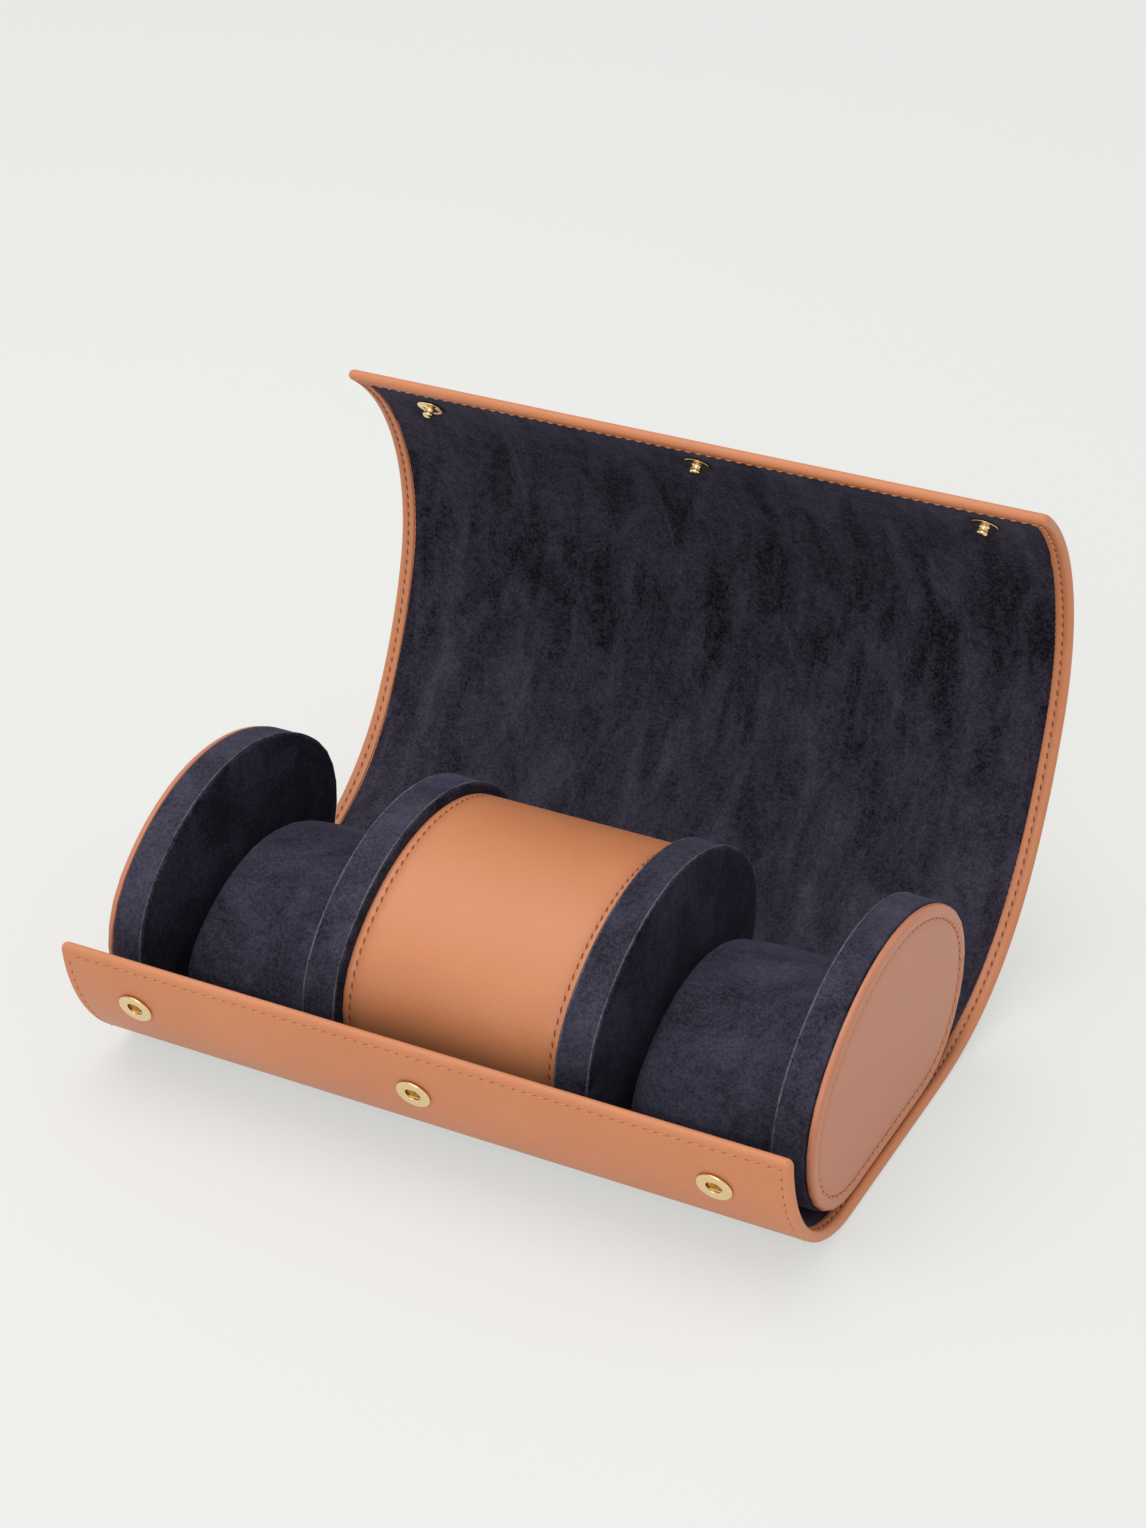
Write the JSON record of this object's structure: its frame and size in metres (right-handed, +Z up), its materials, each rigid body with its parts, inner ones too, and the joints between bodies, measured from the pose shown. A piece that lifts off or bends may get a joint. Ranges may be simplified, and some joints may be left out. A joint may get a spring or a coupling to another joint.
{
  "type": "watch roll",
  "caption": "Leather travel roll that rolls shut round velvet watch cushions and fastens with snap studs along its front lip.",
  "frame": {"origin": "centre of the flat base's underside, midway between the roll's ends", "axes": "+X along the roll to the right end, +Y from the front lip to the lid, +Z up"},
  "size_m": [0.21, 0.1864, 0.1463],
  "materials": {
    "tan_leather": "smooth, semi-matt, lightly grained",
    "navy_lining": "short dense velvet pile",
    "velvet": "short dense velvet pile",
    "face_leather": "smooth, semi-matt",
    "stiffener_board": "plain grey",
    "core_board": "plain grey",
    "core_foam": "plain off-white felted wadding",
    "gold_plate": "polished pale gold",
    "spring_steel": "bright",
    "nickel_back": "satin"
  },
  "bodies": {
    "base": {"base_leather": "tan_leather", "base_board": "stiffener_board", "base_lining": "navy_lining", "left_cap_core": "core_board", "left_cap_velvet": "velvet", "left_cap_face_card": "core_board", "left_cap_face_leather": "face_leather", "right_cap_core": "core_board", "right_cap_velvet": "velvet", "right_cap_face_card": "core_board", "right_cap_face_leather": "face_leather", "left_divider_core": "core_foam", "left_divider_velvet": "velvet", "right_divider_core": "core_foam", "right_divider_velvet": "velvet", "centre_core": "core_foam", "centre_backing": "stiffener_board", "centre_band": "tan_leather", "lid_1_leather": "tan_leather", "lid_1_board": "stiffener_board", "lid_1_lining": "navy_lining"},
    "lip_lower": {"lip_lower_leather": "tan_leather", "lip_lower_board": "stiffener_board", "lip_lower_lining": "navy_lining"},
    "lip_upper": {"lip_upper_leather": "tan_leather", "lip_upper_board": "stiffener_board", "lip_upper_lining": "navy_lining", "socket_plates": "gold_plate", "socket_springs": "spring_steel", "socket_backs": "nickel_back"},
    "lid_lower": {"lid_2_leather": "tan_leather", "lid_2_board": "stiffener_board", "lid_2_lining": "navy_lining", "lid_3_leather": "tan_leather", "lid_3_board": "stiffener_board", "lid_3_lining": "navy_lining"},
    "lid_middle": {"lid_4_leather": "tan_leather", "lid_4_board": "stiffener_board", "lid_4_lining": "navy_lining"},
    "lid_upper": {"lid_5_leather": "tan_leather", "lid_5_board": "stiffener_board", "lid_5_lining": "navy_lining", "lid_6_leather": "tan_leather", "lid_6_board": "stiffener_board", "lid_6_lining": "navy_lining"},
    "flap": {"flap_leather": "tan_leather", "flap_board": "stiffener_board", "flap_lining": "navy_lining", "stud_heads": "gold_plate", "stud_backs": "nickel_back"},
    "left_cushion": {"left_cushion_foam": "core_foam", "left_cushion_cover": "velvet"},
    "right_cushion": {"right_cushion_foam": "core_foam", "right_cushion_cover": "velvet"}
  },
  "joints": [
    {"name": "lid_fold_1", "type": "hinge", "parent": "base", "child": "lid_lower", "pos_m": [0, 0.03999, 0.00342], "axis": [1, 0, 0], "range_deg": [0, 49.8]},
    {"name": "lid_fold_2", "type": "hinge", "parent": "lid_lower", "child": "lid_middle", "pos_m": [0, 0.06926, 0.01118], "axis": [1, 0, 0], "range_deg": [0, 25.2]},
    {"name": "lid_fold_3", "type": "hinge", "parent": "lid_middle", "child": "lid_upper", "pos_m": [0, 0.09587, 0.03556], "axis": [1, 0, 0], "range_deg": [0, 29.9]},
    {"name": "flap_fold", "type": "hinge", "parent": "lid_upper", "child": "flap", "pos_m": [0, 0.10763, 0.12105], "axis": [1, 0, 0], "range_deg": [0, 17.4]},
    {"name": "lip_fold_1", "type": "hinge", "parent": "base", "child": "lip_lower", "pos_m": [0, -0.028, 0.003], "axis": [-1, 0, 0], "range_deg": [0, 10.3]},
    {"name": "lip_fold_2", "type": "hinge", "parent": "lip_lower", "child": "lip_upper", "pos_m": [0, -0.05433, 0.01528], "axis": [-1, 0, 0], "range_deg": [0, 22.1]},
    {"name": "left_cushion_lift", "type": "slide", "parent": "base", "child": "left_cushion", "axis": [0, 0, 1], "range_m": [0, 0.016]},
    {"name": "right_cushion_lift", "type": "slide", "parent": "base", "child": "right_cushion", "axis": [0, 0, 1], "range_m": [0, 0.016]}
  ],
  "couplings": [
    {"joint": "lid_fold_2", "follows": "lid_fold_1", "ratio": 0.50402},
    {"joint": "lid_fold_3", "follows": "lid_fold_1", "ratio": 0.59839},
    {"joint": "lip_fold_1", "follows": "lid_fold_1", "ratio": 0.20482},
    {"joint": "lip_fold_2", "follows": "lid_fold_1", "ratio": 0.44177}
  ]
}
